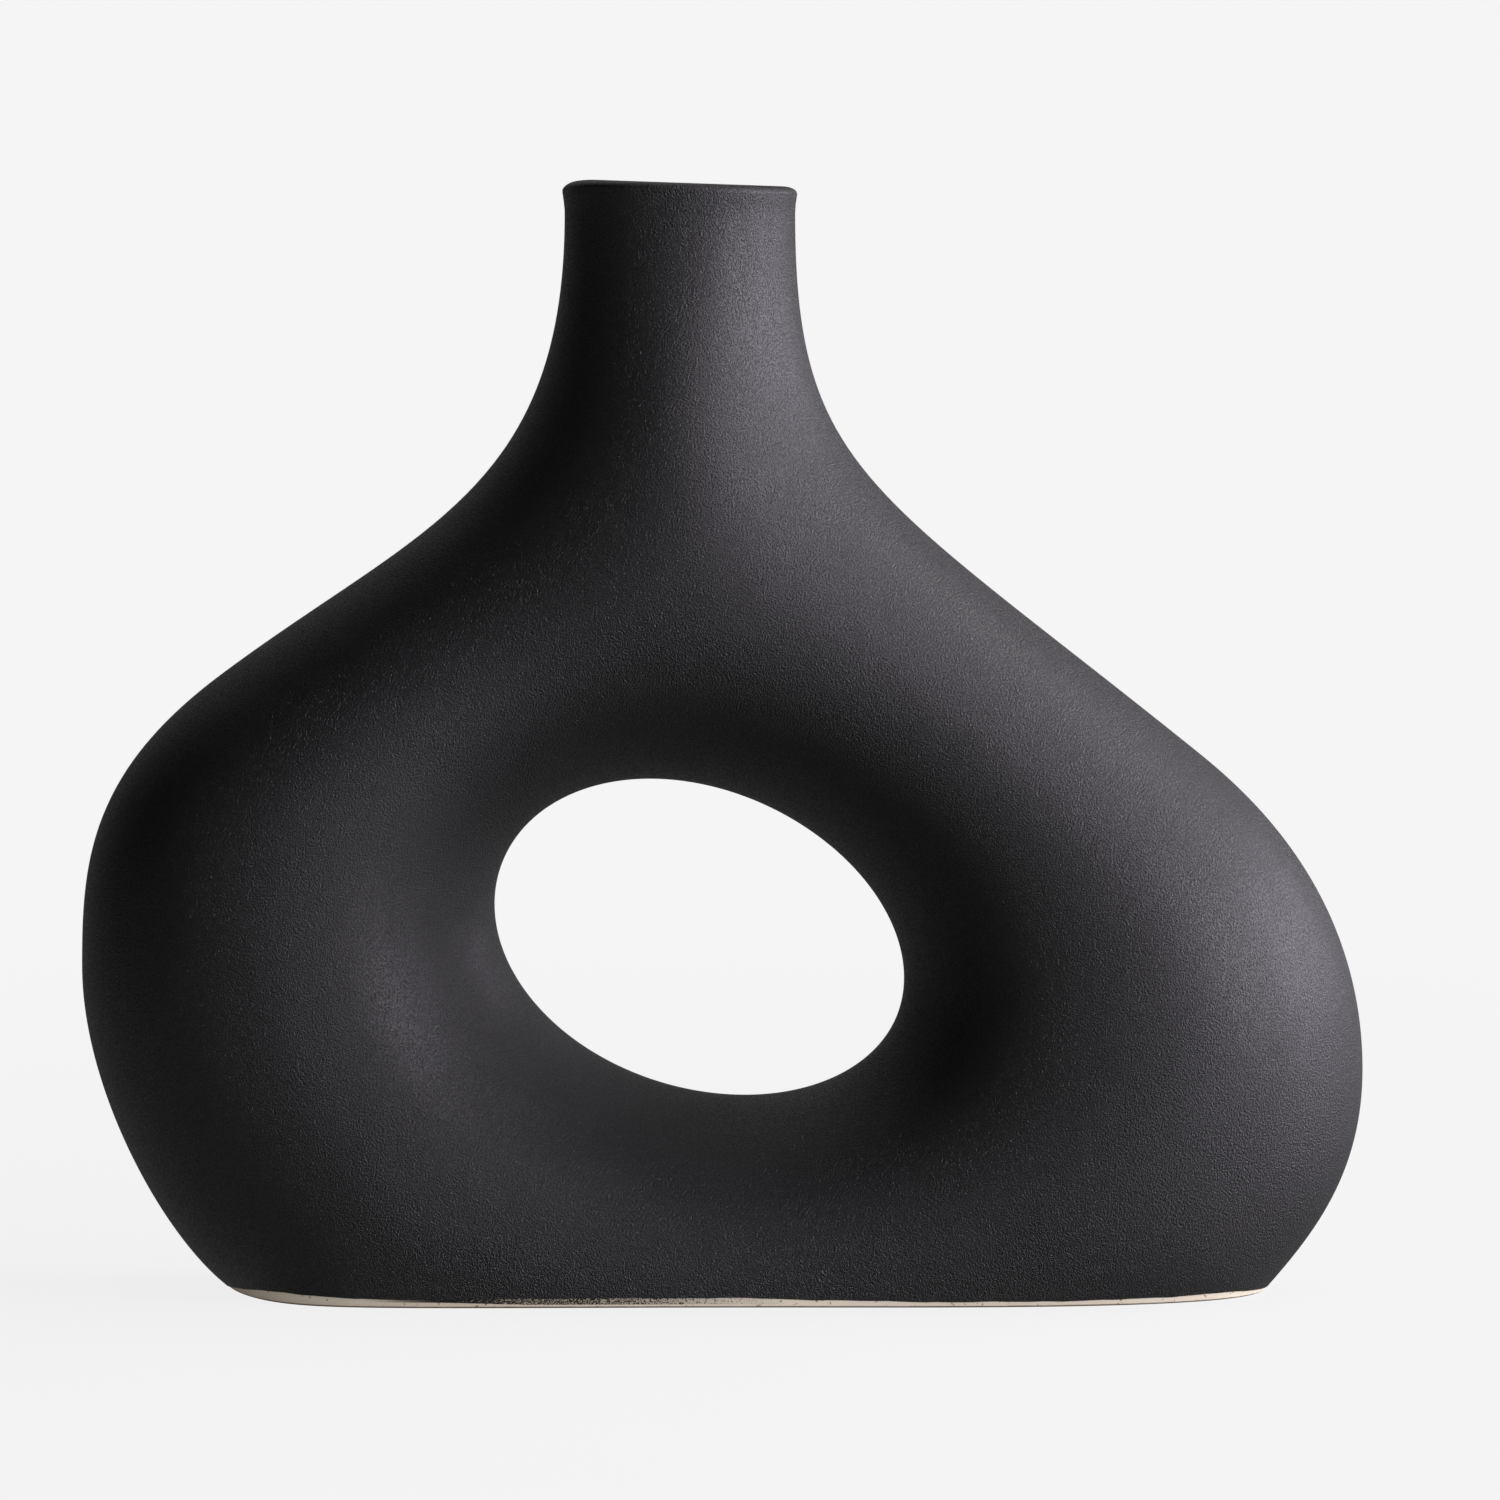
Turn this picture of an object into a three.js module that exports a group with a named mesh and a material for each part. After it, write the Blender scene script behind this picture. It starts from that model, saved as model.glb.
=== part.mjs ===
// Ceramic vase: a flattened ring with a slanted oval hole, an off-centre neck and a foot cut flat.
// Two clay halves are luted with slip on the plane y = 0, stand on a floor slab and are glazed.
// Millimetres, +Z up, origin on the ground under the middle of the body, front towards -Y.

import * as THREE from "three";

// Neck and lip
const neckOffset = -8.93; // neck axis from the origin, along X
const neckDiameter = 48.7; // outside, at the waist
const neckWaistHeight = 227;
const neckLength = 6.4; // waist to lip
const lipFlare = 0.65; // the lip stands out this far beyond the waist
const lipTilt = 2; // degrees, down towards +X
const lipSag = 1.2; // the hand-cut lip falls away by this much at its left end
const lipSagReach = 7.5; // over this length
const lipRoundWidth = 3; // the lip's outer edge is rounded over this much of its top
const lipRoundHeight = 1.6;
const lipRoundInside = 1.6; // radius of its inner edge
const lipCoat = 1.2; // the glaze is thicker over the top of the lip
const lipReturn = 12; // how far the outside glaze runs down inside the neck

// Outline of the body, seen from the front
const leftShoulder = { reach: 105.9, height: 129.8, slope: 36.8 };
const leftBelly = { reach: 135.1, height: 68.4 };
const leftFoot = { reach: 103.5, slope: 34.5 };
const leftPull = {
  neck: 59, shoulderUp: 52.1, shoulderDown: 34.4, bellyUp: 22.4, bellyDown: 27.2, foot: 16, sink: 150,
}; // how far the curve's handles reach at each of these points
const rightShoulder = { reach: 99.2, height: 114.4, slope: 38.8 };
const rightBelly = { reach: 135.1, height: 46.6 };
const rightFoot = { reach: 114.5, slope: 48.5 };
const rightPull = {
  neck: 54.4, shoulderUp: 88, shoulderDown: 11.4, bellyUp: 39.2, bellyDown: 22, foot: 15.5, sink: 60,
};
const ringSink = 28; // the ring would close this far below the ground: the foot is cut across it

// Depth and hole
const bodyDepth = 96; // rounds the arms, front to back: they come out about as deep as they are wide
const depthTaperHeight = 90; // above this the depth eases off to the neck's diameter
const holeOffset = -4.8; // middle of the hole from the origin, along X
const holeHeight = 74.05; // middle of the hole above the ground
const holeLength = 89;
const holeWidth = 62.7;
const holeLean = 0.03; // share by which the oval is fuller at its left end and slimmer at its right
const holeTilt = 21; // degrees, down towards +X
const holeTurn = 1.2; // how much tighter the surface turns in at the hole than at the outline
const holeTurnReach = 9; // that fades over this distance from the hole's edge

// Walls, coats and fits
const clayWall = 4.8;
const glazeCoat = 0.6;
const linerCoat = 0.5;
const coatGap = 0.2; // between a coat and the clay it covers
const seamSlip = 0.8; // slip between the two halves
const floorThickness = 5.5;
const bareEdge = 1.3; // height of the floor's unglazed edge
const edgeInset = 0.25; // that edge from the glaze's outside
const edgeRound = 0.5; // rounding of that edge at the ground

// Facets
const outlineSteps = 240;
const holeSteps = 96;
const lipSteps = 12; // half way round the lip
const neckSteps = 7; // along the neck
const neckShare = 0.35; // where the neck's level rows start, from the shoulder up to the waist
const sideSteps = 18; // from there down to the foot
const footSteps = 16; // half way round the foot
const rowSteps = 8; // hole to outline
const roundSteps = 3; // in each rounded edge
const evenShare = 0.35; // 0 runs the facets straight out from the hole, 1 spaces them evenly round it

// Depths below the outside surface
const clayOutside = glazeCoat + coatGap;
const clayInside = clayOutside + clayWall;
const linerOutside = clayInside + coatGap;
const linerInside = linerOutside + linerCoat;
const returnOutside = linerInside + coatGap;
const returnInside = returnOutside + glazeCoat;
const rimDrop = lipCoat + coatGap; // clay and liner end this far below the top of the lip

const vector = (x, z) => new THREE.Vector2(x, z);
const rimHeight = neckWaistHeight + neckLength;
const shoulderHeight = Math.max(leftShoulder.height, rightShoulder.height);
const neckFoot = THREE.MathUtils.lerp(shoulderHeight, neckWaistHeight, neckShare);
const lipLeftEnd = neckOffset - neckDiameter / 2 - lipFlare;

// Height of the lip's top
function rimLine(x) {
  const sag = THREE.MathUtils.clamp(1 - (x - lipLeftEnd) / lipSagReach, 0, 1);
  return rimHeight - (x - neckOffset) * Math.tan(THREE.MathUtils.degToRad(lipTilt)) - lipSag * sag ** 2;
}

// One side of the outline from far above the lip to the ground; sign is -1 on the left
function sideCurves(sign, shoulder, belly, foot, pull) {
  const slopeOf = (degrees, outwards) => {
    const angle = THREE.MathUtils.degToRad(degrees);
    return vector(sign * outwards * Math.cos(angle), -Math.sin(angle));
  };
  const down = vector(0, -1);
  const waist = vector(neckOffset + sign * (neckDiameter / 2), neckWaistHeight);
  const lip = waist.clone().add(vector(sign * lipFlare, neckLength));
  const above = lip.clone().add(vector(0, neckDiameter)); // the lines run on past the mouth
  const shoulderPoint = vector(sign * shoulder.reach, shoulder.height);
  const shoulderWay = slopeOf(shoulder.slope, 1);
  const bellyPoint = vector(sign * belly.reach, belly.height);
  const footPoint = vector(sign * foot.reach, 0);
  const footWay = slopeOf(foot.slope, -1);
  const sinkPoint = vector((rightFoot.reach - leftFoot.reach) / 2, -ringSink);
  const curve = (from, fromWay, fromPull, to, toWay, toPull) =>
    new THREE.CubicBezierCurve(
      from,
      from.clone().addScaledVector(fromWay, fromPull),
      to.clone().addScaledVector(toWay, -toPull),
      to,
    );
  return [
    new THREE.LineCurve(above, lip),
    curve(lip, down, neckLength / 3, waist, down, neckLength / 3),
    curve(waist, down, pull.neck, shoulderPoint, shoulderWay, pull.shoulderUp),
    curve(shoulderPoint, shoulderWay, pull.shoulderDown, bellyPoint, down, pull.bellyUp),
    curve(bellyPoint, down, pull.bellyDown, footPoint, footWay, pull.foot),
    curve(footPoint, footWay, pull.foot, sinkPoint, vector(-sign, 0), pull.sink),
  ];
}

function spacedPoints(curves, steps) {
  const path = new THREE.CurvePath();
  curves.forEach((curve) => path.add(curve));
  return path.getSpacedPoints(steps);
}

const leftCurves = sideCurves(-1, leftShoulder, leftBelly, leftFoot, leftPull);
const rightCurves = sideCurves(1, rightShoulder, rightBelly, rightFoot, rightPull);
const outlineLeft = spacedPoints(leftCurves, outlineSteps);
const outlineRight = spacedPoints(rightCurves, outlineSteps);

// A line moved sideways by a distance, to its left where that is positive
function offsetLine(points, distance) {
  return points.map((point, k) => {
    const before = points[Math.max(k - 1, 0)];
    const after = points[Math.min(k + 1, points.length - 1)];
    const along = after.clone().sub(before).normalize();
    return vector(point.x - along.y * distance, point.y + along.x * distance);
  });
}

// The point of a falling line where a test passes from positive to negative
function crossing(points, test) {
  const k = points.findIndex((point, i) => i > 0 && test(points[i - 1]) >= 0 && test(point) < 0);
  const share = test(points[k - 1]) / (test(points[k - 1]) - test(points[k]));
  return { index: k, point: points[k - 1].clone().lerp(points[k], share) };
}

// Left and right ends of a cut through the body, at a level that may depend on x
function cutEnds(walls, level) {
  return [walls.left, walls.right].map((line) => crossing(line, (p) => p.y - level(p.x)).point);
}

// The hole's edge, clockwise seen from the front, grown by an inset
function holePoint(angle, inset) {
  const point = vector(
    (holeLength / 2 + inset) * Math.cos(angle),
    (holeWidth / 2 + inset) * Math.sin(angle) * (1 - holeLean * Math.cos(angle)),
  );
  point.rotateAround(vector(0, 0), -THREE.MathUtils.degToRad(holeTilt));
  return point.add(vector(holeOffset, holeHeight));
}

// Where the lines to a loop of outline points leave the hole: towards each point, partly evened out
function holePlaces(edge, inset) {
  const fullTurn = 2 * Math.PI;
  const step = fullTurn / edge.length;
  const places = [];
  for (const point of edge) {
    const local = point.clone().sub(vector(holeOffset, holeHeight));
    local.rotateAround(vector(0, 0), THREE.MathUtils.degToRad(holeTilt));
    const angle = Math.atan2(local.y / (holeWidth / 2 + inset), local.x / (holeLength / 2 + inset));
    places.push(places.length && angle > places.at(-1) ? angle - fullTurn : angle);
  }
  const start = places.reduce((sum, angle, i) => sum + angle + i * step, 0) / edge.length;
  const evened = places.map((angle, i) => THREE.MathUtils.lerp(angle, start - i * step, evenShare));
  return evened.map((angle) => holePoint(angle, inset));
}

// Everything that bounds the body in the front view at an inset below the outside surface
function wallsAt(inset) {
  const left = offsetLine(outlineLeft, inset);
  const right = offsetLine(outlineRight, -inset);
  const hole = [];
  for (let k = 0; k <= holeSteps; k += 1) {
    hole.push(holePoint((-2 * Math.PI * k) / holeSteps, inset));
  }
  return { inset, left, right, sides: [left, [...right].reverse()], hole };
}

// Distance to the two sides of the outline, a cubic mean over all directions: smooth everywhere inside
function outlineDistance(point, walls) {
  const reach = (run, far) => {
    const lean = Math.abs(run) / far;
    return ((run < 0 ? -1 : 1) * (2 + lean)) / (far ** 4 * (1 + lean) ** 2);
  };
  let sum = 0;
  for (const line of walls.sides) {
    for (let k = 1; k < line.length; k += 1) {
      const [a, b] = [line[k - 1].clone().sub(point), line[k].clone().sub(point)];
      const along = b.clone().sub(a).normalize();
      const height = a.cross(along);
      const [runA, runB] = [a.dot(along), b.dot(along)];
      const beside = runA < 0 && runB >= 0;
      sum += (height / 4) * (reach(runA, a.length()) - reach(runB, b.length()));
      sum += beside ? 1 / height ** 3 : 0;
    }
  }
  return 1 / Math.cbrt(sum);
}

function holeDistance(point, walls) {
  const distances = walls.hole.slice(1).map((b, k) => {
    const a = walls.hole[k];
    const side = b.clone().sub(a);
    const share = THREE.MathUtils.clamp(point.clone().sub(a).dot(side) / side.lengthSq(), 0, 1);
    return point.distanceTo(a.clone().addScaledVector(side, share));
  });
  return Math.min(...distances);
}

// Half the depth of the body at a point of the front view: rounded across each arm, a circle in the neck
function halfDepth(point, walls) {
  const taper = THREE.MathUtils.smoothstep(point.y, depthTaperHeight, neckWaistHeight);
  const tube = THREE.MathUtils.lerp(bodyDepth, neckDiameter, taper) - 2 * walls.inset;
  const [toOutline, toHole] = [outlineDistance(point, walls), holeDistance(point, walls)];
  const holePull = (1 + holeTurn * Math.exp(-toHole / holeTurnReach)) / toHole;
  const armDepth = Math.sqrt(tube / (1 / toOutline + holePull));
  const [left, right] = cutEnds(walls, () => point.y);
  const neckDepth = Math.sqrt(Math.max((point.x - left.x) * (right.x - point.x), 0));
  const inNeck = THREE.MathUtils.smoothstep(point.y, neckFoot, neckWaistHeight);
  return THREE.MathUtils.lerp(armDepth, neckDepth, inNeck);
}

function resample(points, steps) {
  return spacedPoints(points.slice(1).map((p, k) => new THREE.LineCurve(points[k], p)), steps);
}

const front = (point, depth) => new THREE.Vector3(point.x, -depth - seamSlip / 2, point.y);
const mirrored = (p) => new THREE.Vector3(p.x, -p.y, p.z);

// The front of such a cut from left to right, its points closer together near the ends
function cutLine(walls, level, steps) {
  const [left, right] = cutEnds(walls, level);
  return Array.from({ length: steps + 1 }, (_, k) => {
    const x = THREE.MathUtils.lerp(left.x, right.x, (1 - Math.cos((Math.PI * k) / steps)) / 2);
    const point = vector(x, level(x));
    return front(point, k === 0 || k === steps ? 0 : halfDepth(point, walls));
  });
}

// A level between the foot of the neck, at 0, and a line this far below the lip, at 1
function neckLine(walls, share, drop) {
  return cutLine(walls, (x) => THREE.MathUtils.lerp(neckFoot, rimLine(x) - drop, share), lipSteps);
}

function footLine(walls, level) {
  return cutLine(walls, () => level, footSteps).reverse();
}

const around = (line) => [...line, ...line.map(mirrored).reverse()];
const lipLoop = (inset, drop) => around(neckLine(wallsAt(inset), 1, drop));
const footLoop = (inset, level) => around(footLine(wallsAt(inset), level));
const flat = (points) => points.map((p) => vector(p.x, p.z));
const joined = (...lines) => lines.flatMap((line) => line.slice(0, -1));

// The front of the surface at an inset, cut at the lip and at a level above the ground.
// Its rows are closed loops, clockwise seen from the front, from the hole's edge out to the outline.
// The neck continues them upwards in level rows from left to right.
function skin(inset, drop, level) {
  const walls = wallsAt(inset);
  const neck = Array.from({ length: neckSteps + 1 }, (_, k) => neckLine(walls, k / neckSteps, drop));
  const foot = footLine(walls, level);
  const side = (line) => {
    const top = crossing(line, (p) => p.y - neckFoot);
    const end = crossing(line, (p) => p.y - level);
    const points = resample([top.point, ...line.slice(top.index, end.index), end.point], sideSteps);
    return points.slice(1, -1).map((point) => front(point, 0));
  };
  const right = [neck[0].at(-1), ...side(walls.right), foot[0]];
  const left = [foot.at(-1), ...side(walls.left).reverse(), neck[0][0]];
  const edge = joined(neck[0], right, foot, left);
  const ends = flat(edge);
  const places = holePlaces(ends, inset);
  const rows = [places.map((point) => front(point, 0))];
  for (let j = 1; j < rowSteps; j += 1) {
    const share = (1 - Math.cos((Math.PI * j) / rowSteps)) / 2;
    const points = places.map((place, i) => place.clone().lerp(ends[i], share));
    rows.push(points.map((point) => front(point, halfDepth(point, walls))));
  }
  rows.push(edge);
  const lip = neck.at(-1);
  const rightSide = [...neck.slice(1).map((line) => line.at(-1)).reverse(), ...right];
  const leftSide = [...left, ...neck.slice(1).map((line) => line[0])];
  return { rows, neck, lip, foot, rightSide, leftSide, edge: joined(lip, rightSide, foot, leftSide) };
}

// Faces between two lines of points: a loop closes on itself, a strip has two ends
function strip(from, to) {
  const faces = [];
  for (let k = 1; k < from.length; k += 1) {
    faces.push([from[k - 1], from[k], to[k]], [from[k - 1], to[k], to[k - 1]]);
  }
  return faces;
}

const strips = (lines) => lines.slice(1).flatMap((next, k) => strip(lines[k], next));
const loop = (from, to) => strip([...from, from[0]], [...to, to[0]]);
const loops = (lines) => lines.slice(1).flatMap((next, k) => loop(lines[k], next));
const flipped = (faces) => faces.map(([a, b, c]) => [a, c, b]);
const mirroredFaces = (faces) => faces.map(([a, b, c]) => [mirrored(a), mirrored(c), mirrored(b)]);

// Flat face inside a cut loop, facing down where the loop runs as footLoop does
function cap(cut) {
  const half = cut.length / 2;
  return strip(cut.slice(0, half), cut.slice(half).reverse());
}

const frontFaces = (surface) => [...loops(surface.rows), ...strips(surface.neck)];

// Front and rear of a surface, joined in the hole and along both sides, facing out
function skinFaces(surface) {
  const seam = (line) => strip(line, line.map(mirrored));
  const holeEdge = surface.rows[0];
  const faces = frontFaces(surface);
  return [
    ...faces,
    ...mirroredFaces(faces),
    ...loop(holeEdge.map(mirrored), holeEdge),
    ...seam(surface.rightSide),
    ...seam(surface.leftSide),
  ];
}

function piece(name, faces, material) {
  const geometry = new THREE.BufferGeometry().setFromPoints(faces.flat());
  geometry.computeVertexNormals();
  const mesh = new THREE.Mesh(geometry, new THREE.MeshStandardMaterial(material));
  mesh.name = name;
  return mesh;
}

const clay = { color: 0xcdbfae, roughness: 0.85, metalness: 0 };
const slip = { color: 0xd8ccbb, roughness: 0.9, metalness: 0 };
const blackGlaze = { color: 0x1a181a, roughness: 0.55, metalness: 0 };
const clearGlaze = { color: 0xbfb4a4, roughness: 0.25, metalness: 0 };

const clayOuterSkin = skin(clayOutside, rimDrop, floorThickness);
const clayInnerSkin = skin(clayInside, rimDrop, floorThickness);

// A clay half: a thick dish with the hole through it, flat on the seam plane, the lip and the foot
const frontHalf = [
  ...frontFaces(clayOuterSkin),
  ...flipped(frontFaces(clayInnerSkin)),
  ...loop(clayOuterSkin.edge, clayInnerSkin.edge),
  ...loop(clayInnerSkin.rows[0], clayOuterSkin.rows[0]),
];

// Slip in the seam: a flat outline in the plane y = 0, drawn out to the width of the seam
function seamWafer(name, shape) {
  const geometry = new THREE.ExtrudeGeometry(shape, { depth: seamSlip, bevelEnabled: false, steps: 1 });
  geometry.rotateX(Math.PI / 2);
  const mesh = new THREE.Mesh(geometry, new THREE.MeshStandardMaterial(slip));
  mesh.position.y = seamSlip / 2;
  mesh.name = name;
  return mesh;
}

function sideWafer(name, outer, inner) {
  return seamWafer(name, new THREE.Shape([...flat(outer), ...flat(inner).reverse()]));
}

function holeWafer(name) {
  const ring = new THREE.Shape(flat(clayInnerSkin.rows[0]));
  ring.holes.push(new THREE.Path(flat(clayOuterSkin.rows[0]).reverse()));
  return seamWafer(name, ring);
}

// Floor: a flat slab that the shells stand on, with a low ledge under the glaze, rounded at the ground
function baseSlab() {
  const section = [];
  for (let k = roundSteps; k >= 0; k -= 1) {
    const angle = (Math.PI * k) / (2 * roundSteps);
    const inset = edgeInset + edgeRound * (1 - Math.cos(angle));
    section.push(footLoop(inset, edgeRound * (1 - Math.sin(angle))));
  }
  const ledge = bareEdge - coatGap;
  section.push(footLoop(edgeInset, ledge), footLoop(clayOutside, ledge));
  section.push(footLoop(clayOutside, bareEdge), footLoop(clayOutside, floorThickness));
  const faces = [...cap(section[0]), ...flipped(loops(section)), ...flipped(cap(section.at(-1)))];
  return piece("base_slab", faces, clay);
}

// Black coat: over the outside and the top of the floor's edge, round the lip and down inside the neck
function outerGlaze() {
  const outside = skin(0, lipRoundHeight, floorThickness);
  const inside = skin(glazeCoat, lipCoat, floorThickness);
  const turns = Array.from({ length: roundSteps }, (_, k) => (Math.PI * (k + 1)) / (2 * roundSteps));
  const lipEdge = (width, height) =>
    turns.map((angle) => ({ inset: width * (1 - Math.cos(angle)), drop: height * (1 - Math.sin(angle)) }));
  const innerEdge = lipEdge(lipRoundInside, lipRoundInside).reverse();
  const overLip = [
    ...lipEdge(lipRoundWidth, lipRoundHeight),
    ...innerEdge.map(({ inset, drop }) => ({ inset: returnInside - inset, drop })),
    { inset: returnInside, drop: lipRoundInside },
    { inset: returnInside, drop: lipReturn },
    { inset: returnOutside, drop: lipReturn },
    { inset: returnOutside, drop: lipCoat },
  ];
  const lipLoops = overLip.map(({ inset, drop }) => lipLoop(inset, drop));
  const footLoops = [footLoop(0, bareEdge), footLoop(glazeCoat, bareEdge)];
  const faces = [
    ...skinFaces(outside),
    ...flipped(skinFaces(inside)),
    ...loops([around(outside.lip), ...lipLoops, around(inside.lip)]),
    ...loops([around(outside.foot), ...footLoops, around(inside.foot)]),
  ];
  return piece("outer_glaze", faces, blackGlaze);
}

// Thin inside coat from under the lip down and across the floor
function linerGlaze() {
  const outside = skin(linerOutside, rimDrop, floorThickness);
  const inside = skin(linerInside, rimDrop, floorThickness + linerCoat);
  const faces = [
    ...skinFaces(outside),
    ...flipped(skinFaces(inside)),
    ...loop(around(outside.lip), around(inside.lip)),
    ...cap(around(outside.foot)),
    ...flipped(cap(around(inside.foot))),
  ];
  return piece("liner_glaze", faces, clearGlaze);
}

const vase = new THREE.Group();
vase.add(
  piece("front_shell", frontHalf, clay),
  piece("rear_shell", mirroredFaces(frontHalf), clay),
  sideWafer("left_seam_slip", clayOuterSkin.leftSide, clayInnerSkin.leftSide),
  sideWafer("right_seam_slip", clayOuterSkin.rightSide, clayInnerSkin.rightSide),
  holeWafer("hole_seam_slip"),
  baseSlab(),
  outerGlaze(),
  linerGlaze(),
);

export default vase;
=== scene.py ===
import math

import bpy
import numpy as np
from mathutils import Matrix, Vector


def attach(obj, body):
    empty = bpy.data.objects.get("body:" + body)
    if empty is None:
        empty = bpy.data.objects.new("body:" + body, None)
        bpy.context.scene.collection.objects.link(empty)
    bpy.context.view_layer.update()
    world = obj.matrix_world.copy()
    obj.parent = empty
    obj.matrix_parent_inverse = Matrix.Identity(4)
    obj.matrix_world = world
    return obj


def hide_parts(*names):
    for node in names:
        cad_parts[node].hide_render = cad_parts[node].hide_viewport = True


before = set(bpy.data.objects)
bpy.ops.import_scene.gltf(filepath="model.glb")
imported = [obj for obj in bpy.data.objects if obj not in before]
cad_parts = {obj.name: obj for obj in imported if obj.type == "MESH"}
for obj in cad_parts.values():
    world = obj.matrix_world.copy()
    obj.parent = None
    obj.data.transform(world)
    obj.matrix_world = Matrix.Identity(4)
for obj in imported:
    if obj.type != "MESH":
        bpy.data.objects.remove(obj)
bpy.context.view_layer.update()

mm = 0.001  # the shape is worked out in millimetres, the meshes are in metres

# Body of the vase seen from the front, x to the right and z up
neck = {
    "offset": -8.93, "diameter": 48.7, "waist": 227, "length": 6.4, "flare": 0.65, "foot": 163.82,
    "tilt": 2, "sag": 1.2, "sagReach": 7.5,
}
# shoulder: reach, height and slope; belly: reach and height; foot: reach and slope
leftSide = {
    "shoulder": (105.9, 129.8, 36.8), "belly": (135.1, 68.4), "foot": (103.5, 34.5),
    "pull": {
        "neck": 59, "shoulderUp": 52.1, "shoulderDown": 34.4, "bellyUp": 22.4, "bellyDown": 27.2, "foot": 16,
        "sink": 150,
    },
}
rightSide = {
    "shoulder": (99.2, 114.4, 38.8), "belly": (135.1, 46.6), "foot": (114.5, 48.5),
    "pull": {
        "neck": 54.4, "shoulderUp": 88, "shoulderDown": 11.4, "bellyUp": 39.2, "bellyDown": 22, "foot": 15.5,
        "sink": 60,
    },
}
ring = {"sink": 28, "depth": 96, "taperFrom": 90, "slip": 0.8}
hole = {
    "offset": -4.8, "height": 74.05, "length": 89, "width": 62.7, "lean": 0.03, "tilt": 21,
    "turn": 1.2, "turnReach": 9, "even": 0.35,
}
# points along each outline curve, round the hole, and worked out at a time
fine = {"curve": 160, "hole": 360, "batch": 1500}


def smoothStep(x, low, high):
    t = np.clip((x - low) / (high - low), 0, 1)
    return t * t * (3 - 2 * t)


def bezier(start, startWay, startPull, end, endWay, endPull):
    t = np.linspace(0, 1, fine["curve"])[:, None]
    a, d = np.array(start, float), np.array(end, float)
    b = a + np.array(startWay) * startPull
    c = d - np.array(endWay) * endPull
    return (1 - t) ** 3 * a + 3 * (1 - t) ** 2 * t * b + 3 * (1 - t) * t ** 2 * c + t ** 3 * d


def slanted(sign, slope):
    return (sign * math.cos(math.radians(slope)), -math.sin(math.radians(slope)))


def sideLine(sign, side):
    # from above the lip down one side and under the ground to the ring's lowest point
    pull = side["pull"]
    shoulderReach, shoulderHeight, shoulderSlope = side["shoulder"]
    bellyReach, bellyHeight = side["belly"]
    footReach, footSlope = side["foot"]
    down = (0, -1)
    waist = (neck["offset"] + sign * neck["diameter"] / 2, neck["waist"])
    lip = (waist[0] + sign * neck["flare"], waist[1] + neck["length"])
    above = (lip[0], lip[1] + neck["diameter"])
    shoulder = (sign * shoulderReach, shoulderHeight)
    shoulderWay = slanted(sign, shoulderSlope)
    belly = (sign * bellyReach, bellyHeight)
    foot = (sign * footReach, 0)
    footWay = slanted(-sign, footSlope)
    sink = ((rightSide["foot"][0] - leftSide["foot"][0]) / 2, -ring["sink"])
    abovePull, lipPull = neck["diameter"] / 3, neck["length"] / 3
    curves = [
        bezier(above, down, abovePull, lip, down, abovePull),
        bezier(lip, down, lipPull, waist, down, lipPull),
        bezier(waist, down, pull["neck"], shoulder, shoulderWay, pull["shoulderUp"]),
        bezier(shoulder, shoulderWay, pull["shoulderDown"], belly, down, pull["bellyUp"]),
        bezier(belly, down, pull["bellyDown"], foot, footWay, pull["foot"]),
        bezier(foot, footWay, pull["foot"], sink, (-sign, 0), pull["sink"]),
    ]
    return np.vstack([curves[0]] + [curve[1:] for curve in curves[1:]])


outlineLeft = sideLine(-1, leftSide)
outlineRight = sideLine(1, rightSide)


def shifted(points, distance):
    # a line moved sideways, to its left where the distance is positive
    along = np.gradient(points, axis=0)
    along /= np.linalg.norm(along, axis=1)[:, None]
    return points + distance * np.stack([-along[:, 1], along[:, 0]], axis=1)


def holeEdge(angles, inset):
    x = (hole["length"] / 2 + inset) * np.cos(angles)
    z = (hole["width"] / 2 + inset) * np.sin(angles) * (1 - hole["lean"] * np.cos(angles))
    tilt = math.radians(hole["tilt"])
    return np.stack([
        hole["offset"] + x * math.cos(tilt) + z * math.sin(tilt),
        hole["height"] - x * math.sin(tilt) + z * math.cos(tilt),
    ], axis=1)


def wallsAt(inset):
    left = shifted(outlineLeft, inset)
    right = shifted(outlineRight, -inset)
    loop = holeEdge(np.linspace(0, -2 * math.pi, fine["hole"] + 1), inset)
    return {"inset": inset, "left": left, "right": right, "loop": loop}


def outlineDistance(points, walls):
    # smooth distance to the outline: a cubic mean over all directions
    lines = [walls["left"], walls["right"][::-1]]
    starts = np.vstack([line[:-1] for line in lines])
    ends = np.vstack([line[1:] for line in lines])
    along = ends - starts
    along /= np.linalg.norm(along, axis=1)[:, None]
    result = np.zeros(len(points))
    for first in range(0, len(points), fine["batch"]):
        part = slice(first, first + fine["batch"])
        toStart = starts[None] - points[part, None]
        toEnd = ends[None] - points[part, None]
        height = toStart[..., 0] * along[:, 1] - toStart[..., 1] * along[:, 0]
        runs = [(to * along).sum(2) for to in (toStart, toEnd)]
        reach = 0
        for to, run, sign in ((toStart, runs[0], 1), (toEnd, runs[1], -1)):
            far = np.linalg.norm(to, axis=2)
            lean = np.abs(run) / far
            reach = reach + sign * np.where(run < 0, -1, 1) * (2 + lean) / (far ** 4 * (1 + lean) ** 2)
        beside = (runs[0] < 0) & (runs[1] >= 0)
        total = height * reach / 4 + np.where(beside, 1 / np.where(beside, height, 1) ** 3, 0)
        result[part] = np.cbrt(1 / total.sum(1))
    return result


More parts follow.
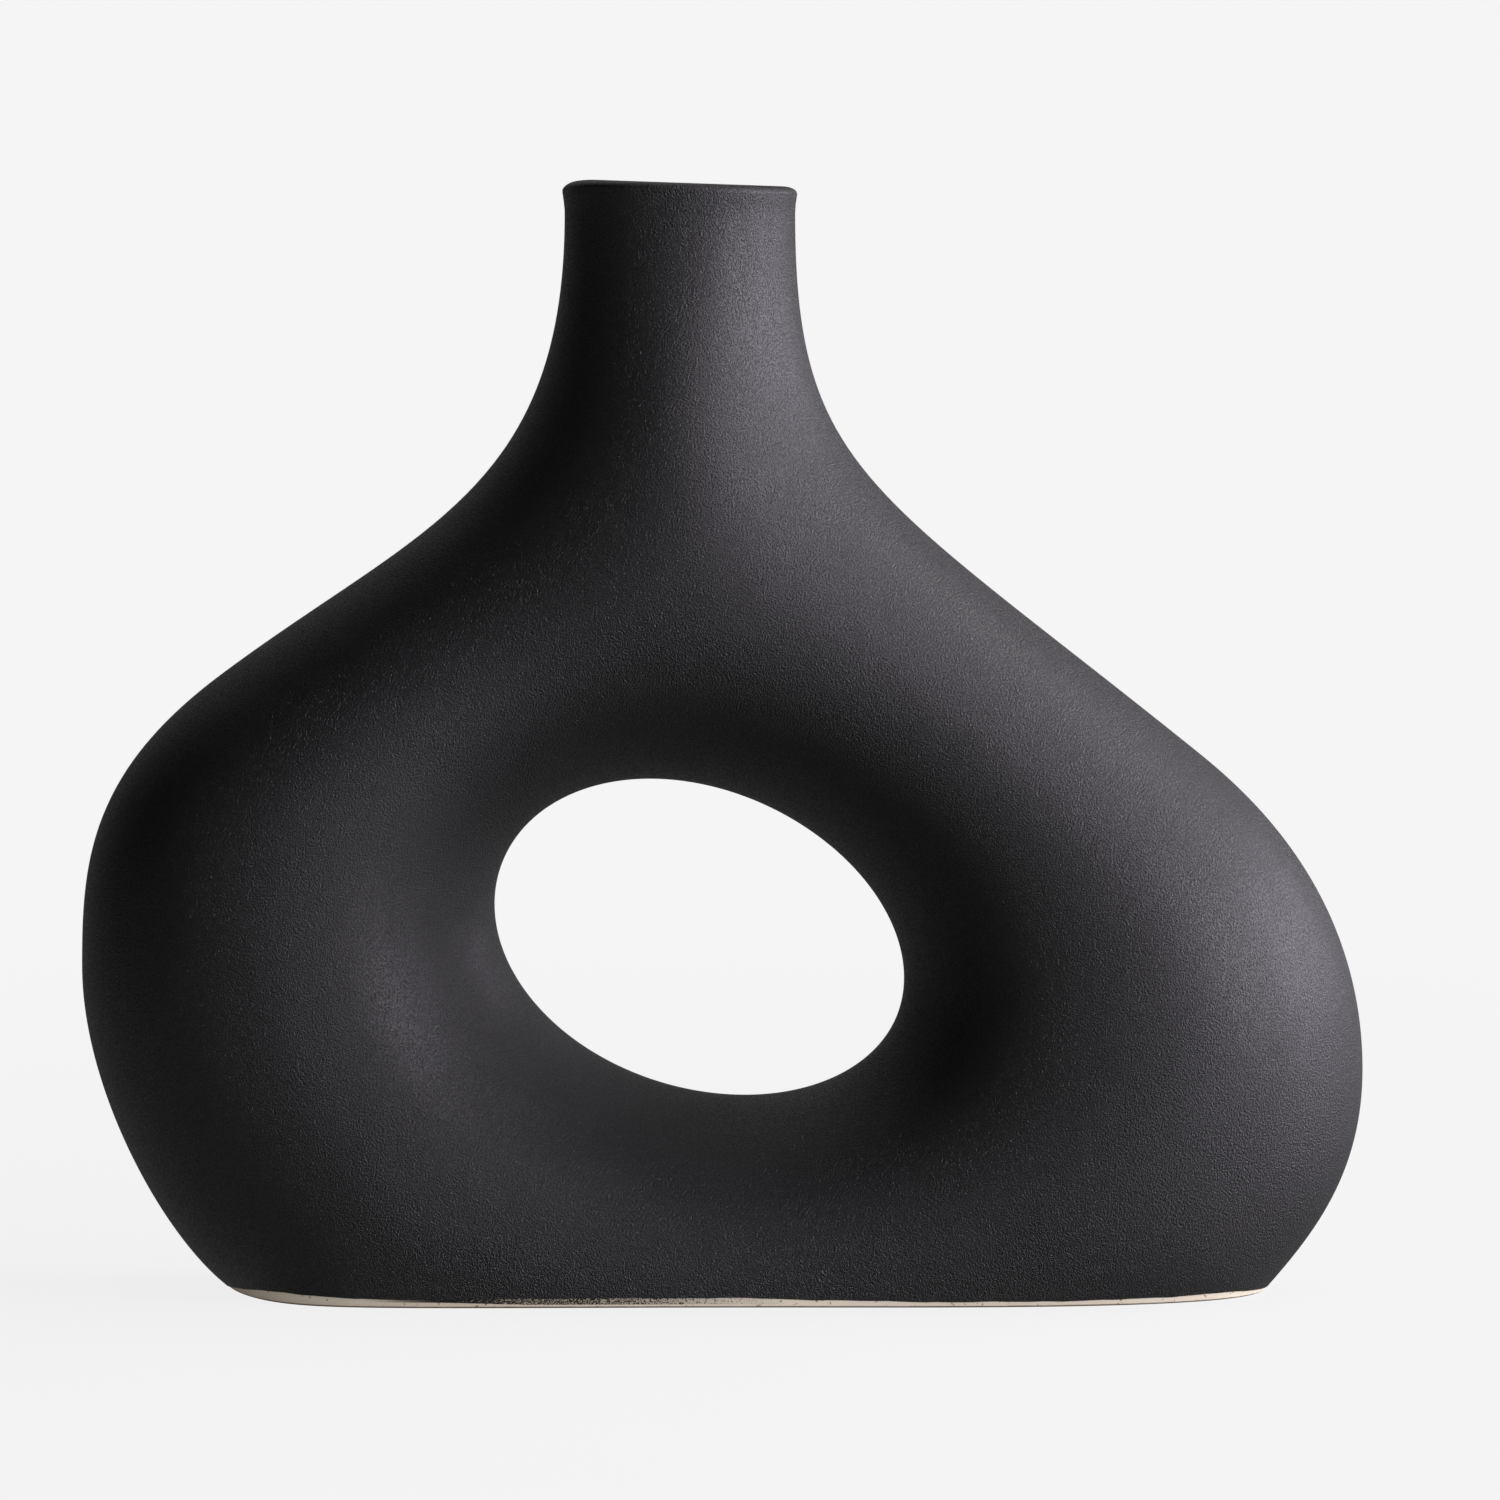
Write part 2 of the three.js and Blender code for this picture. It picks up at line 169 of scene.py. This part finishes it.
def holeDistance(points, walls):
    starts = walls["loop"][:-1]
    along = np.diff(walls["loop"], axis=0)
    result = np.zeros(len(points))
    for first in range(0, len(points), fine["batch"]):
        part = slice(first, first + fine["batch"])
        away = points[part, None] - starts
        share = np.clip((away * along).sum(2) / (along ** 2).sum(1), 0, 1)
        result[part] = np.linalg.norm(away - share[..., None] * along, axis=2).min(1)
    return result


def halfDepth(points, walls):
    # rounded across each arm, easing into a true circle across the neck
    x, z = points[:, 0], points[:, 1]
    taper = smoothStep(z, ring["taperFrom"], neck["waist"])
    tube = ring["depth"] + (neck["diameter"] - ring["depth"]) * taper - 2 * walls["inset"]
    toOutline, toHole = outlineDistance(points, walls), holeDistance(points, walls)
    holePull = (1 + hole["turn"] * np.exp(-toHole / hole["turnReach"])) / toHole
    arm = np.sqrt(np.maximum(tube / (1 / toOutline + holePull), 0))
    left = np.interp(z, walls["left"][::-1, 1], walls["left"][::-1, 0])
    right = np.interp(z, walls["right"][::-1, 1], walls["right"][::-1, 0])
    circle = np.sqrt(np.maximum((x - left) * (right - x), 0))
    return arm + (circle - arm) * smoothStep(z, neck["foot"], neck["waist"])


def crossing(line, level):
    # where a falling line passes a level that may depend on x
    above = line[:, 1] - level(line[:, 0])
    k = np.nonzero((above[:-1] >= 0) & (above[1:] < 0))[0][0]
    share = above[k] / (above[k] - above[k + 1])
    return k + share, line[k] + share * (line[k + 1] - line[k])


def eased(steps):
    # shares from 0 to 1, closer together at both ends
    return (1 - np.cos(np.linspace(0, math.pi, steps + 1))) / 2


def frontPoints(points, depth):
    # half the seam's slip adds to the depth, easing in from the seam
    return np.stack([points[:, 0], -np.sqrt(depth * (depth + ring["slip"])), points[:, 1]], axis=1)


def cutRow(walls, sides, level, steps):
    # across the front at a level, from one side to the other
    start, end = (crossing(walls[side], level)[1] for side in sides)
    points = start + eased(steps)[:, None] * (end - start)
    points[:, 1] = level(points[:, 0])
    depth = halfDepth(points, walls)
    depth[[0, -1]] = 0
    return frontPoints(points, depth)


rimHeight = neck["waist"] + neck["length"]
rimSlope = math.tan(math.radians(neck["tilt"]))


def rimLine(x):
    # the lip tilts down to the right, and falls away a little at its left end
    leftEnd = neck["offset"] - neck["diameter"] / 2 - neck["flare"]
    sag = np.clip(1 - (x - leftEnd) / neck["sagReach"], 0, 1)
    return rimHeight - (x - neck["offset"]) * rimSlope - neck["sag"] * sag ** 2


def neckRow(walls, share, drop, steps):
    level = lambda x: neck["foot"] + share * (rimLine(x) - drop - neck["foot"])
    return cutRow(walls, ("left", "right"), level, steps)


def footRow(walls, level, steps):
    return cutRow(walls, ("right", "left"), level, steps)


def evenly(line, steps):
    run = np.concatenate([[0], np.cumsum(np.linalg.norm(np.diff(line, axis=0), axis=1))])
    places = np.linspace(0, run[-1], steps + 1)
    return np.stack([np.interp(places, run, line[:, k]) for k in (0, 1)], axis=1)


def sideRow(line, footLevel, steps):
    top, topPoint = crossing(line, lambda x: neck["foot"])
    end, endPoint = crossing(line, footLevel)
    points = np.vstack([topPoint[None], line[int(top) + 1:int(end) + 1], endPoint[None]])
    return frontPoints(evenly(points, steps), np.zeros(steps + 1))


def holeStarts(ends, inset):
    # where the lines to the outline leave the hole: towards each point, partly evened out
    tilt = math.radians(hole["tilt"])
    x, z = ends[:, 0] - hole["offset"], ends[:, 1] - hole["height"]
    along = (x * math.cos(tilt) - z * math.sin(tilt)) / (hole["length"] / 2 + inset)
    across = (x * math.sin(tilt) + z * math.cos(tilt)) / (hole["width"] / 2 + inset)
    angles = np.unwrap(np.arctan2(across, along))
    step = -2 * math.pi / len(ends)
    count = np.arange(len(ends))
    even = (angles - count * step).mean() + count * step
    return holeEdge(angles + hole["even"] * (even - angles), inset)


def bodyGrid(inset, footLevel, steps):
    # rows from the hole out to the outline; each row runs clockwise and closes on its first point
    walls = wallsAt(inset)
    top = neckRow(walls, 0, 0, steps["neck"])
    right = sideRow(walls["right"], footLevel, steps["side"])
    bottom = footRow(walls, footLevel, steps["foot"])
    left = sideRow(walls["left"], footLevel, steps["side"])[::-1]
    edge = np.vstack([row[:-1] for row in (top, right, bottom, left)])
    ends = edge[:, [0, 2]]
    starts = holeStarts(ends, inset)
    rows = [frontPoints(starts, np.zeros(len(starts)))]
    for share in eased(steps["rows"])[1:-1]:
        points = starts + share * (ends - starts)
        rows.append(frontPoints(points, halfDepth(points, walls)))
    rows.append(edge)
    return np.array([np.vstack([row, row[:1]]) for row in rows])


def neckGrid(profile, steps):
    # rows up the neck, over the lip and down inside; each runs from left to right
    return np.array([neckRow(wallsAt(inset), share, drop, steps) for inset, share, drop in profile])


weld = 0.002 * mm  # points closer than this become one


def deselectAll():
    if bpy.context.object and bpy.context.object.mode != "OBJECT":
        bpy.ops.object.mode_set(mode="OBJECT")
    bpy.ops.object.select_all(action="DESELECT")


def pick(*pieces):
    deselectAll()
    for piece in pieces:
        piece.select_set(True)
    bpy.context.view_layer.objects.active = pieces[0]


def gridPiece(name, grid):
    # a flat grid primitive, each of its points moved to its place in the rows
    deselectAll()
    rows, columns = grid.shape[0] - 1, grid.shape[1] - 1
    bpy.ops.mesh.primitive_grid_add(x_subdivisions=columns, y_subdivisions=rows, size=1)
    piece = bpy.context.object
    piece.name = name
    flat = np.zeros(len(piece.data.vertices) * 3)
    piece.data.vertices.foreach_get("co", flat)
    place = flat.reshape(-1, 3) + 0.5
    row = np.rint(place[:, 1] * rows).astype(int)
    column = np.rint(place[:, 0] * columns).astype(int)
    piece.data.vertices.foreach_set("co", (grid[row, column] * mm).ravel())
    piece.data.update()
    return piece


def joinPieces(first, second):
    pick(first, second)
    bpy.ops.object.join()
    return first


def editAll(piece):
    pick(piece)
    bpy.ops.object.mode_set(mode="EDIT")
    bpy.ops.mesh.select_all(action="SELECT")


def applyModifier(piece, kind, **settings):
    pick(piece)
    modifier = piece.modifiers.new(kind.lower(), kind)
    for key, value in settings.items():
        setattr(modifier, key, value)
    bpy.ops.object.modifier_apply(modifier=modifier.name)


def closeHalves(piece):
    # merge the front half, mirror it to the rear and turn the faces outwards
    editAll(piece)
    bpy.ops.mesh.remove_doubles(threshold=weld)
    bpy.ops.object.mode_set(mode="OBJECT")
    applyModifier(piece, "MIRROR", use_axis=(False, True, False), use_clip=True, merge_threshold=weld)
    editAll(piece)
    bpy.ops.mesh.normals_make_consistent(inside=False)
    bpy.ops.object.mode_set(mode="OBJECT")


def finishPiece(piece, node, material, sharp):
    # smooth, with edges kept where faces meet at more than the sharp angle
    pick(piece)
    bpy.ops.object.shade_smooth_by_angle(angle=math.radians(sharp))
    piece.data.materials.clear()
    piece.data.materials.append(material)
    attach(piece, "root")
    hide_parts(node)
    print(piece.name, len(piece.data.polygons), "faces")


# Shader maths: a socket that takes part in Python sums
class Sock:
    def __init__(self, tree, socket=None):
        self.tree = tree
        self.socket = socket

    def node(self, kind, settings=None, inputs=None, output=0):
        made = self.tree.nodes.new(kind)
        for key, value in (settings or {}).items():
            setattr(made, key, value)
        for key, value in (inputs or {}).items():
            if isinstance(value, Sock):
                self.tree.links.new(value.socket, made.inputs[key])
            else:
                made.inputs[key].default_value = value
        return Sock(self.tree, made.outputs[output] if made.outputs else None)

    def maths(self, operation, first, second):
        return self.node("ShaderNodeMath", {"operation": operation}, {0: first, 1: second})

    def __add__(self, other):
        return self.maths("ADD", self, other)

    def __sub__(self, other):
        return self.maths("SUBTRACT", self, other)

    def __rsub__(self, other):
        return self.maths("SUBTRACT", other, self)

    def __mul__(self, other):
        return self.maths("MULTIPLY", self, other)

    __radd__ = __add__
    __rmul__ = __mul__

    def ramp(self, low, high):
        # 0 below low, 1 above high, eased between
        settings = {"interpolation_type": "SMOOTHSTEP"}
        inputs = {"Value": self, "From Min": low, "From Max": high}
        return self.node("ShaderNodeMapRange", settings, inputs)

    def mixed(self, first, second):
        # the mix node's colours are its inputs 6 and 7 and its output 2
        return self.node("ShaderNodeMix", {"data_type": "RGBA"}, {0: self, 6: first, 7: second}, 2)


def newMaterial(name):
    material = bpy.data.materials.new(name)
    material.use_nodes = True
    tree = material.node_tree
    tree.nodes.clear()
    return material, Sock(tree)


def noise(graph, place, size, detail=2, roughness=0.5):
    inputs = {"Vector": place, "Scale": 1 / (size * mm), "Detail": detail, "Roughness": roughness}
    return graph.node("ShaderNodeTexNoise", None, inputs)


def bumped(graph, height):
    return graph.node("ShaderNodeBump", None, {"Height": height, "Strength": 1.0, "Distance": 1.0})


def objectPlace(graph):
    return graph.node("ShaderNodeTexCoord", output="Object")


def output(graph, shader):
    graph.node("ShaderNodeOutputMaterial", None, {"Surface": shader})


def surface(graph, inputs):
    output(graph, graph.node("ShaderNodeBsdfPrincipled", None, inputs))


# In the looks below, grain sizes and heights are in millimetres, and pairs are the ends of a ramp
glazeLook = {
    "dark": (0.0036, 0.0033, 0.0033, 1), "light": (0.0066, 0.0060, 0.0062, 1), "mottle": (0.35, 0.65),
    "gloss": 0.9, "roughness": (0.36, 0.58), "tops": (0.42, 0.60), "glint": 0.45, "glintRoughness": 0.40,
    "grain": 0.24, "grainHeight": 0.30, "pebble": 0.43, "pebbleHeight": 0.40, "swell": 6, "swellHeight": 0.10,
    "cloud": 40,
}


def blackGlaze():
    # glossier on the tops of the grain
    look = glazeLook
    material, graph = newMaterial("blackGlaze")
    place = objectPlace(graph)
    grain = noise(graph, place, look["grain"], detail=1)
    pebble = noise(graph, place, look["pebble"])
    swell = noise(graph, place, look["swell"])
    cloud = noise(graph, place, look["cloud"], detail=3, roughness=0.55)
    height = grain * (look["grainHeight"] * mm) + pebble * (look["pebbleHeight"] * mm)
    height = height + swell * (look["swellHeight"] * mm)
    tops = (grain * 0.5 + pebble * 0.5).ramp(*look["tops"])
    mottle = (cloud * 0.5 + grain * 0.5).ramp(*look["mottle"])
    low, high = look["roughness"]
    surface(graph, {
        "Base Color": mottle.mixed(look["dark"], look["light"]),
        "Roughness": high - tops * (high - low),
        "Specular IOR Level": look["gloss"],
        "Coat Weight": tops * look["glint"],
        "Coat Roughness": look["glintRoughness"],
        "Normal": bumped(graph, height),
    })
    return material


clayLook = {
    "patch": 9, "patches": (0.35, 0.65), "sand": 0.7, "sandHeight": 0.06, "roughness": (0.75, 0.95),
    "specks": (0.60, 0.68), "speck": (0.05, 0.04, 0.035, 1), "speckShare": 0.8,
}


def bareClay(name, cream, taupe):
    look = clayLook
    material, graph = newMaterial(name)
    place = objectPlace(graph)
    patch = noise(graph, place, look["patch"], detail=4, roughness=0.6)
    sand = noise(graph, place, look["sand"], detail=3, roughness=0.6)
    speck = sand.ramp(*look["specks"]) * look["speckShare"]
    colour = patch.ramp(*look["patches"]).mixed(taupe, cream)
    low, high = look["roughness"]
    surface(graph, {
        "Base Color": speck.mixed(colour, look["speck"]),
        "Roughness": low + sand * (high - low),
        "Normal": bumped(graph, sand * (look["sandHeight"] * mm)),
    })
    return material


# creamier, bandStart, bandEnd and the names that end in At are places along x
footLook = {
    "taupe": (0.74, 0.66, 0.53, 1), "cream": (0.87, 0.80, 0.64, 1), "creamier": (-70, 20),
    "creamShare": 0.8, "patch": 5, "patchShare": 0.4,
    "sand": 0.32, "sandHeight": 0.03, "roughness": (0.75, 0.95),
    "pit": 1.1, "pits": (0.66, 0.70), "pitShare": 0.7,
    # dark brown for the pits and for a painted contact shadow at the ground, then that painted shadow's top,
    # wave and share
    "pitsAndContactShade": (0.13, 0.085, 0.055, 1), "contactShadeTop": (0.32, 0.62), "contactShadeWave": 0.2, "contactShadeShare": 0.85,
    "bandStart": (-76, -58), "bandEnd": (9, 15), "bandFrom": 0.75, "bandSoft": (-0.08, 0.12),
    "bandHeight": 0.09, "step": 0.5, "stepAt": (-62, -36),
    "leftover": (0.012, 0.011, 0.0115, 1), "leftoverSoft": (-0.06, 0.06),
    "cover": 0.30, "thinner": 0.17, "thinnerAt": (-62, -38), "thinnest": 0.18, "thinnestAt": (-30, 16),
    "dull": (0.34, 0.29, 0.21, 1), "dullShare": 0.7, "dullLoss": 0.5, "dullLossAt": (-20, 14),
}


def footClay():
    # cream clay, greyer to the left, with leftover glaze in a rough band and a dark brown line at the ground
    # that is painted contact shadow
    look = footLook
    material, graph = newMaterial("footClay")
    place = objectPlace(graph)
    x, z = [graph.node("ShaderNodeSeparateXYZ", None, {0: place}, axis) * (1 / mm) for axis in (0, 2)]
    patch = noise(graph, place, look["patch"], detail=4, roughness=0.6)
    sand = noise(graph, place, look["sand"], detail=3, roughness=0.65)
    pits = noise(graph, place, look["pit"]).ramp(*look["pits"]) * look["pitShare"]
    bandFoot = look["bandFrom"] + look["step"] * (1 - x.ramp(*look["stepAt"]))
    along = x.ramp(*look["bandStart"]) * (1 - x.ramp(*look["bandEnd"]))
    band = (z - bandFoot).ramp(*look["bandSoft"]) * along
    cover = look["cover"] + look["thinner"] * x.ramp(*look["thinnerAt"])
    cover = cover + look["thinnest"] * x.ramp(*look["thinnestAt"])
    leftover = (sand - cover).ramp(*look["leftoverSoft"]) * band
    dull = band * (look["dullShare"] - look["dullLoss"] * x.ramp(*look["dullLossAt"]))
    # painted contact shadow: a dark brown line along the lowest part of the foot, wavering with the patches
    pitsAndContactShade = (1 - (z + patch * look["contactShadeWave"]).ramp(*look["contactShadeTop"])) * look["contactShadeShare"]
    creamy = x.ramp(*look["creamier"]) * look["creamShare"] + (patch - 0.5) * look["patchShare"]
    clay = creamy.mixed(look["taupe"], look["cream"])
    clay = dull.mixed(clay, look["dull"])
    # the pits take the dark brown, then the painted contact shadow darkens the line at the ground
    clay = pitsAndContactShade.mixed(pits.mixed(clay, look["pitsAndContactShade"]), look["pitsAndContactShade"])
    low, high = look["roughness"]
    surface(graph, {
        "Base Color": leftover.mixed(clay, look["leftover"]),
        "Roughness": low + sand * (high - low),
        "Normal": bumped(graph, sand * ((look["sandHeight"] + band * look["bandHeight"]) * mm)),
    })
    return material


linerLook = {
    "dark": (0.40, 0.34, 0.28, 1), "light": (0.52, 0.45, 0.37, 1), "patch": 14, "patches": (0.3, 0.7),
    "patchHeight": 0.1, "roughness": (0.25, 0.40),
    "grain": 1.1, "specks": (0.66, 0.74), "speck": (0.12, 0.09, 0.07, 1), "speckShare": 0.6,
}


def clearGlaze():
    look = linerLook
    material, graph = newMaterial("clearGlaze")
    place = objectPlace(graph)
    patch = noise(graph, place, look["patch"], detail=4, roughness=0.6)
    speck = noise(graph, place, look["grain"]).ramp(*look["specks"]) * look["speckShare"]
    colour = patch.ramp(*look["patches"]).mixed(look["dark"], look["light"])
    low, high = look["roughness"]
    surface(graph, {
        "Base Color": speck.mixed(colour, look["speck"]),
        "Roughness": low + patch * (high - low),
        "Normal": bumped(graph, patch * (look["patchHeight"] * mm)),
    })
    return material


# Black coat: outside of the body, up the neck, over the lip and a way down inside
glaze = {
    "skin": 0.12, "coat": 0.55, "wall": 7.1, "sharp": 50,
    "lipRound": (3.2, 1.6), "lipInside": 1.6, "lipReturn": 12,
    "steps": {"neck": 48, "side": 110, "foot": 128, "rows": 44},
    "neckRows": 34, "roundSteps": 9, "returnRows": 6,
    "edgeAt": (-104, -97, -90, -72, -60, -50, 0, 8, 14, 28, 48, 80, 95, 105, 113),
    "edge": (1.2, 2.2, 2.5, 1.8, 1.9, 2.1, 2.1, 2.0, 1.8, 1.5, 1.2, 1.3, 1.6, 1.8, 1.2),
    "waves": ((0.06, 4.1, 0.5), (0.05, 1.7, 0), (0.03, 0.9, 2)),  # height, length and start of each
}


def glazeEdge(x):
    # the coat is wiped off in a slightly wavy line above the ground
    wave = sum(height * np.sin(x / length + start) for height, length, start in glaze["waves"])
    return np.interp(x, glaze["edgeAt"], glaze["edge"]) + wave


def lipProfile():
    # inset, share of the way up the neck and drop below the rim of each row
    wide, high = glaze["lipRound"]
    inside, wall, skin = glaze["lipInside"], glaze["wall"], glaze["skin"]
    turn = np.linspace(0, math.pi / 2, glaze["roundSteps"] + 1)[1:]
    drops = np.linspace(skin + inside, glaze["lipReturn"], glaze["returnRows"] + 1)
    up = [(skin, k / glaze["neckRows"], skin + high) for k in range(glaze["neckRows"] + 1)]
    outer = [(skin + wide * (1 - math.cos(a)), 1, skin + high * (1 - math.sin(a))) for a in turn]
    inner = [(wall - inside * (1 - math.cos(a)), 1, skin + inside * (1 - math.sin(a))) for a in turn[::-1]]
    down = [(wall, 1, drop) for drop in drops]
    return up + outer + inner + down


body = gridPiece("black_glaze_coat", bodyGrid(glaze["skin"], glazeEdge, glaze["steps"]))
collar = gridPiece("collar", neckGrid(lipProfile(), glaze["steps"]["neck"]))
coat = joinPieces(body, collar)
closeHalves(coat)
applyModifier(coat, "SOLIDIFY", thickness=glaze["coat"] * mm, offset=-1, use_even_offset=False)
finishPiece(coat, "outer_glaze", blackGlaze(), glaze["sharp"])

# Floor slab: its bare edge shows under the coat
slab = {
    "inset": 0.25, "behind": 0.8, "thickness": 5.5, "round": 0.5, "roundSteps": 6, "steps": 128,
    "tuck": 0.05, "below": 0.02, "sharp": 40,
}


def slabGrid():
    # up behind the coat, a ledge under its wavy end, then the bare edge, rounded at the ground
    behind, inset, radius = slab["behind"], slab["inset"], slab["round"]
    section = [
        (behind, lambda x: slab["thickness"]),
        (behind, lambda x: glazeEdge(x) + slab["tuck"]),
        (inset, lambda x: glazeEdge(x) - slab["below"]),
    ]
    for a in np.linspace(0, math.pi / 2, slab["roundSteps"] + 1):
        height = radius * (1 - math.sin(a))
        section.append((inset + radius * (1 - math.cos(a)), lambda x, height=height: height))
    return np.array([footRow(wallsAt(depth), level, slab["steps"]) for depth, level in section])


floorSlab = gridPiece("bare_clay_floor", slabGrid())
closeHalves(floorSlab)
editAll(floorSlab)
bpy.ops.mesh.select_all(action="DESELECT")
bpy.ops.mesh.select_non_manifold()
bpy.ops.mesh.edge_face_add()
bpy.ops.mesh.select_all(action="SELECT")
bpy.ops.mesh.normals_make_consistent(inside=False)
bpy.ops.object.mode_set(mode="OBJECT")
finishPiece(floorSlab, "base_slab", footClay(), slab["sharp"])

# The pieces inside keep their solids and get their own finish
firedClay = bareClay("firedClay", cream=(0.60, 0.52, 0.43, 1), taupe=(0.50, 0.43, 0.35, 1))
firedSlip = bareClay("firedSlip", cream=(0.68, 0.61, 0.52, 1), taupe=(0.60, 0.53, 0.45, 1))
finishes = {
    "front_shell": firedClay, "rear_shell": firedClay,
    "left_seam_slip": firedSlip, "right_seam_slip": firedSlip, "hole_seam_slip": firedSlip,
    "liner_glaze": clearGlaze(),
}
for node, material in finishes.items():
    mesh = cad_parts[node].data
    mesh.materials.clear()
    mesh.materials.append(material)
print("materials set")

# Studio: pale floor and backdrop, window light from the right in soft panels, dark cards elsewhere
studio = {
    "pale": 0.914, "floorSize": 30, "near": 0.25, "far": 1.1, "lit": 0.08, "glow": 0.905,
    "mirror": 0.16, "ambient": 0.42, "speckle": 25, "floor": (0.88, 0.92), "card": 0.01,
    "middle": 0.115, "panelAway": 1.25, "panelSize": 0.5,
}


def grey(value):
    return (value, value, value, 1)


def ray(graph, name):
    return graph.node("ShaderNodeLightPath", output=f"Is {name} Ray")


def flatShare(graph):
    # rays that see the flat pale background instead of the lit floor or the dome of light
    return graph.maths("MAXIMUM", ray(graph, "Camera") + ray(graph, "Glossy"), ray(graph, "Transmission"))


def blend(graph, share, first, second):
    return graph.node("ShaderNodeMixShader", None, {0: share, 1: first, 2: second})


def hushed(graph, shader, kind):
    # the room is dim: reflections show only part of the pale background
    dark = graph.node(kind, None, {"Strength": 0.0})
    return blend(graph, ray(graph, "Glossy") * (1 - studio["mirror"]), shader, dark)


def paleFloor():
    material, graph = newMaterial("paleFloor")
    place = objectPlace(graph)
    away = graph.node("ShaderNodeVectorMath", {"operation": "LENGTH"}, {0: place}, "Value")
    far = away.ramp(studio["near"], studio["far"])
    dark, light = studio["floor"]
    speckle = noise(graph, place, studio["speckle"], detail=3).mixed(grey(dark), grey(light))
    matte = graph.node("ShaderNodeBsdfDiffuse", None, {"Color": speckle})
    glow = far.mixed(grey(studio["glow"]), grey(studio["pale"]))
    shine = graph.node("ShaderNodeEmission", None, {"Color": glow})
    share = flatShare(graph) * (1 - studio["lit"] * (1 - far))
    output(graph, hushed(graph, blend(graph, share, matte, shine), "ShaderNodeEmission"))
    return material


deselectAll()
bpy.ops.mesh.primitive_plane_add(size=studio["floorSize"], location=(0, 0, 0))
ground = bpy.context.object
ground.name = "ground"
ground.data.materials.append(paleFloor())

world = bpy.data.worlds.new("studioWorld")
bpy.context.scene.world = world
world.use_nodes = True
world.node_tree.nodes.clear()
sky = Sock(world.node_tree)
dim = sky.node("ShaderNodeBackground", None, {"Color": grey(1), "Strength": studio["ambient"]})
pale = sky.node("ShaderNodeBackground", None, {"Color": grey(studio["pale"]), "Strength": 1.0})
backdrop = hushed(sky, blend(sky, flatShare(sky), dim, pale), "ShaderNodeBackground")
sky.node("ShaderNodeOutputWorld", None, {"Surface": backdrop})

# degrees round from the camera's side to the right, degrees up, watts and colour
panels = {
    "panelFrontRight": (55, 15, 9.0, (0.95, 0.91, 1.0)),
    "panelRight": (91, 15, 8.6, (0.89, 0.84, 1.0)),
    "panelRearRight": (117, 15, 4.4, (0.92, 0.87, 1.0)),
    "panelHigh": (115, 50, 2.9, (1.0, 0.93, 0.93)),
    "panelBack": (190, 40, 0.42, (1.0, 0.95, 0.92)),
}


def softPanel(name, turn, rise, power, colour):
    # a square panel that faces the middle of the vase
    turn, rise = math.radians(turn), math.radians(rise)
    way = Vector((math.sin(turn) * math.cos(rise), -math.cos(turn) * math.cos(rise), math.sin(rise)))
    middle = Vector((0, 0, studio["middle"]))
    deselectAll()
    bpy.ops.object.light_add(type="AREA", location=middle + studio["panelAway"] * way)
    lamp = bpy.context.object
    lamp.name = name
    lamp.data.size = studio["panelSize"]
    lamp.data.energy = power
    lamp.data.color = colour
    lamp.rotation_euler = way.to_track_quat("Z", "Y").to_euler()


for name, (turn, rise, power, colour) in panels.items():
    softPanel(name, turn, rise, power, colour)

# place, turn in degrees and size
cards = {
    "cardLeft": ((-1.1, -0.7, 0.8), (0, 90, 0), (1.6, 4.2)),
    "cardFront": ((0, -2.8, 1.0), (90, 0, 0), (7, 4)),
    "cardAbove": ((0, -0.6, 1.7), (0, 0, 0), (5, 4.4)),
}


def darkCard(name, place, turn, size):
    # seen only in reflections
    deselectAll()
    bpy.ops.mesh.primitive_plane_add(size=1, location=place, rotation=[math.radians(a) for a in turn])
    card = bpy.context.object
    card.name = name
    card.scale = (size[0], size[1], 1)
    material, graph = newMaterial(name)
    output(graph, graph.node("ShaderNodeBsdfDiffuse", None, {"Color": grey(studio["card"])}))
    card.data.materials.append(material)
    card.visible_camera = False
    card.visible_diffuse = False


for name, (place, turn, size) in cards.items():
    darkCard(name, place, turn, size)
print("studio set")

# Camera: as the photograph was taken, from far off and at about the height of the lip
view = {"place": (0.0058, -2.3, 0.233), "target": (0.0058, 0, 0.1139), "lens": 262.33, "sensor": 36}
deselectAll()
bpy.ops.object.camera_add(location=view["place"])
camera = bpy.context.object
camera.data.lens = view["lens"]
camera.data.sensor_width = view["sensor"]
camera.rotation_euler = (Vector(view["target"]) - Vector(view["place"])).to_track_quat("-Z", "Y").to_euler()
bpy.context.scene.camera = camera
bpy.context.scene.view_settings.view_transform = "Standard"
